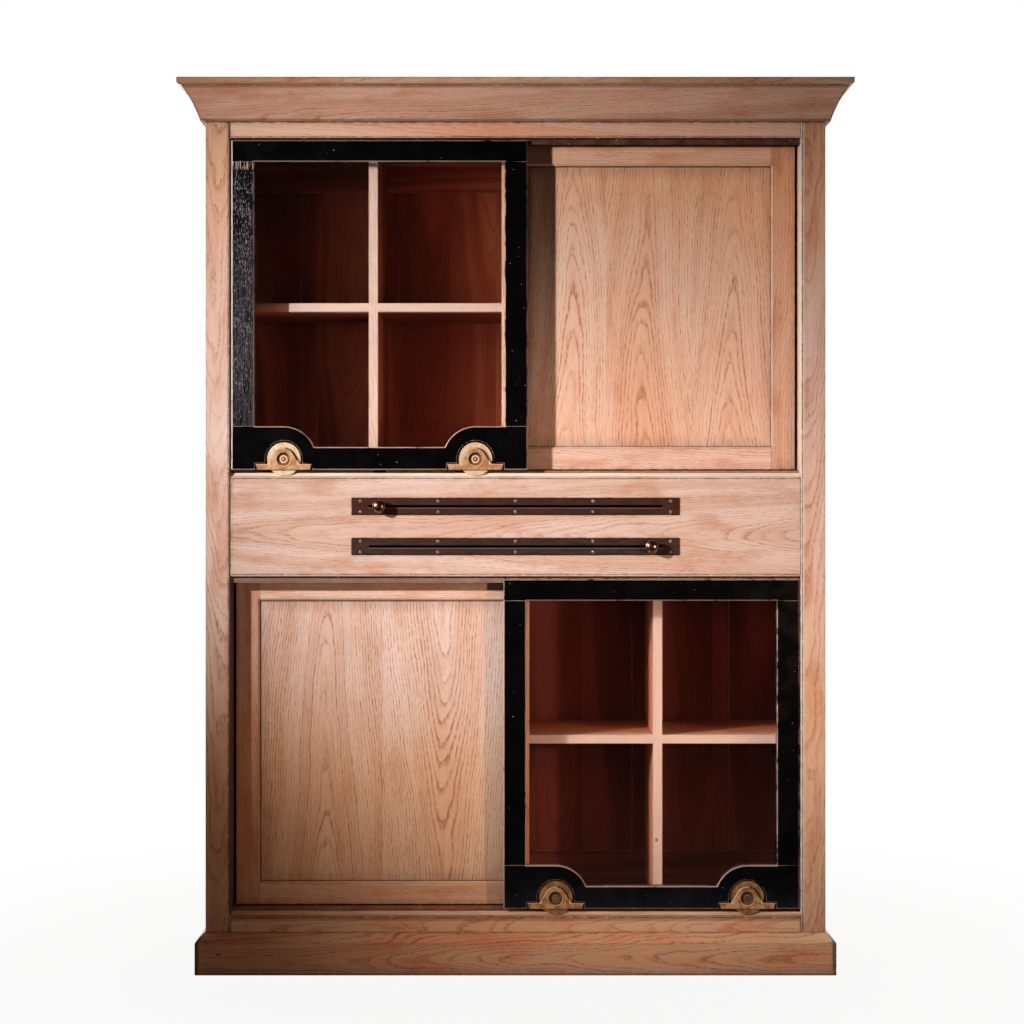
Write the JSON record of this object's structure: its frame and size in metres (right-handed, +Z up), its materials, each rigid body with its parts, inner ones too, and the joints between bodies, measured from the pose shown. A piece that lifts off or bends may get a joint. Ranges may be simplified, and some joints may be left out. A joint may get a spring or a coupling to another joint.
{
  "type": "mizuya kitchen cabinet",
  "caption": "Tall tiered oak kitchen cabinet with rolling black glazed doors in front of sliding oak doors, slotted straps for the knobs, divided shelves, plinth and cornice.",
  "frame": {"origin": "middle of the footprint of the whole cabinet, on the floor", "axes": "+Z up, -Y towards the front with the doors, +X to the right as seen from the front"},
  "size_m": [1.504, 0.507, 2],
  "materials": {
    "oak": "waxed light oak, brown grain",
    "track_wood": "worn pale hardwood",
    "inner_wood": "dark red-brown stained wood",
    "black_lacquer": "black lacquer, worn pinkish at the edges",
    "pane": "old clear window glass",
    "bracket_brass": "aged golden brass",
    "roller_brass": "turned brass, tarnished",
    "strap_bronze": "dark patinated bronze",
    "screw_steel": "worn steel",
    "knob_brass": "hand-polished brass",
    "arm_iron": "blackened iron"
  },
  "bodies": {
    "cabinet": {"left_front_post": "oak", "right_front_post": "oak", "rear_posts": "oak", "bottom_rail": "oak", "middle_fascia": "oak", "top_rail": "oak", "plinth_front": "oak", "plinth_left": "oak", "plinth_right": "oak", "cornice_front": "oak", "cornice_left": "oak", "cornice_right": "oak", "top_board": "oak", "side_rails": "oak", "side_panels": "oak", "lower_track": "track_wood", "upper_track": "track_wood", "lower_sill": "inner_wood", "upper_sill": "inner_wood", "lower_lintel": "inner_wood", "upper_lintel": "inner_wood", "lower_floor": "inner_wood", "upper_floor": "inner_wood", "lower_ceiling": "inner_wood", "upper_ceiling": "inner_wood", "lower_dividers": "inner_wood", "upper_dividers": "inner_wood", "centre_posts": "inner_wood", "lower_shelves": "inner_wood", "upper_shelves": "inner_wood", "back_frame": "inner_wood", "back_panels": "inner_wood", "lower_slotted_strap": "strap_bronze", "upper_slotted_strap": "strap_bronze"},
    "lower_glazed_door": {"lower_door_bottom_rail": "black_lacquer", "lower_door_top_rail": "black_lacquer", "lower_door_left_stile": "black_lacquer", "lower_door_right_stile": "black_lacquer", "lower_door_glass": "pane", "lower_roller_brackets": "bracket_brass", "lower_handle_arm": "arm_iron", "lower_knob": "knob_brass"},
    "lower_left_roller_body": {"lower_left_roller": "roller_brass"},
    "lower_right_roller_body": {"lower_right_roller": "roller_brass"},
    "lower_oak_door": {"lower_oak_rails": "oak", "lower_oak_stiles": "oak", "lower_oak_panel": "oak"},
    "upper_glazed_door": {"upper_door_bottom_rail": "black_lacquer", "upper_door_top_rail": "black_lacquer", "upper_door_left_stile": "black_lacquer", "upper_door_right_stile": "black_lacquer", "upper_door_glass": "pane", "upper_roller_brackets": "bracket_brass", "upper_handle_arm": "arm_iron", "upper_knob": "knob_brass"},
    "upper_left_roller_body": {"upper_left_roller": "roller_brass"},
    "upper_right_roller_body": {"upper_right_roller": "roller_brass"},
    "upper_oak_door": {"upper_oak_rails": "oak", "upper_oak_stiles": "oak", "upper_oak_panel": "oak"}
  },
  "joints": [
    {"name": "lower_glazed_door_slide", "type": "slide", "parent": "cabinet", "child": "lower_glazed_door", "axis": [1, 0, 0], "range_m": [-0.61, 0]},
    {"name": "lower_left_roller_spin", "type": "hinge", "parent": "lower_glazed_door", "child": "lower_left_roller_body", "pos_m": [0.09, -0.1825, 0.1685], "axis": [0, 1, 0], "continuous": true},
    {"name": "lower_right_roller_spin", "type": "hinge", "parent": "lower_glazed_door", "child": "lower_right_roller_body", "pos_m": [0.52, -0.1825, 0.1685], "axis": [0, 1, 0], "continuous": true},
    {"name": "lower_oak_door_slide", "type": "slide", "parent": "cabinet", "child": "lower_oak_door", "axis": [1, 0, 0], "range_m": [0, 0.602]},
    {"name": "upper_glazed_door_slide", "type": "slide", "parent": "cabinet", "child": "upper_glazed_door", "axis": [1, 0, 0], "range_m": [0, 0.61]},
    {"name": "upper_left_roller_spin", "type": "hinge", "parent": "upper_glazed_door", "child": "upper_left_roller_body", "pos_m": [-0.52, -0.1825, 1.153], "axis": [0, 1, 0], "continuous": true},
    {"name": "upper_right_roller_spin", "type": "hinge", "parent": "upper_glazed_door", "child": "upper_right_roller_body", "pos_m": [-0.09, -0.1825, 1.153], "axis": [0, 1, 0], "continuous": true},
    {"name": "upper_oak_door_slide", "type": "slide", "parent": "cabinet", "child": "upper_oak_door", "axis": [1, 0, 0], "range_m": [-0.602, 0]}
  ],
  "couplings": [
    {"joint": "lower_left_roller_spin", "follows": "lower_glazed_door_slide", "rad_per_m": 32.258},
    {"joint": "lower_right_roller_spin", "follows": "lower_glazed_door_slide", "rad_per_m": 32.258},
    {"joint": "upper_left_roller_spin", "follows": "upper_glazed_door_slide", "rad_per_m": 32.258},
    {"joint": "upper_right_roller_spin", "follows": "upper_glazed_door_slide", "rad_per_m": 32.258}
  ]
}
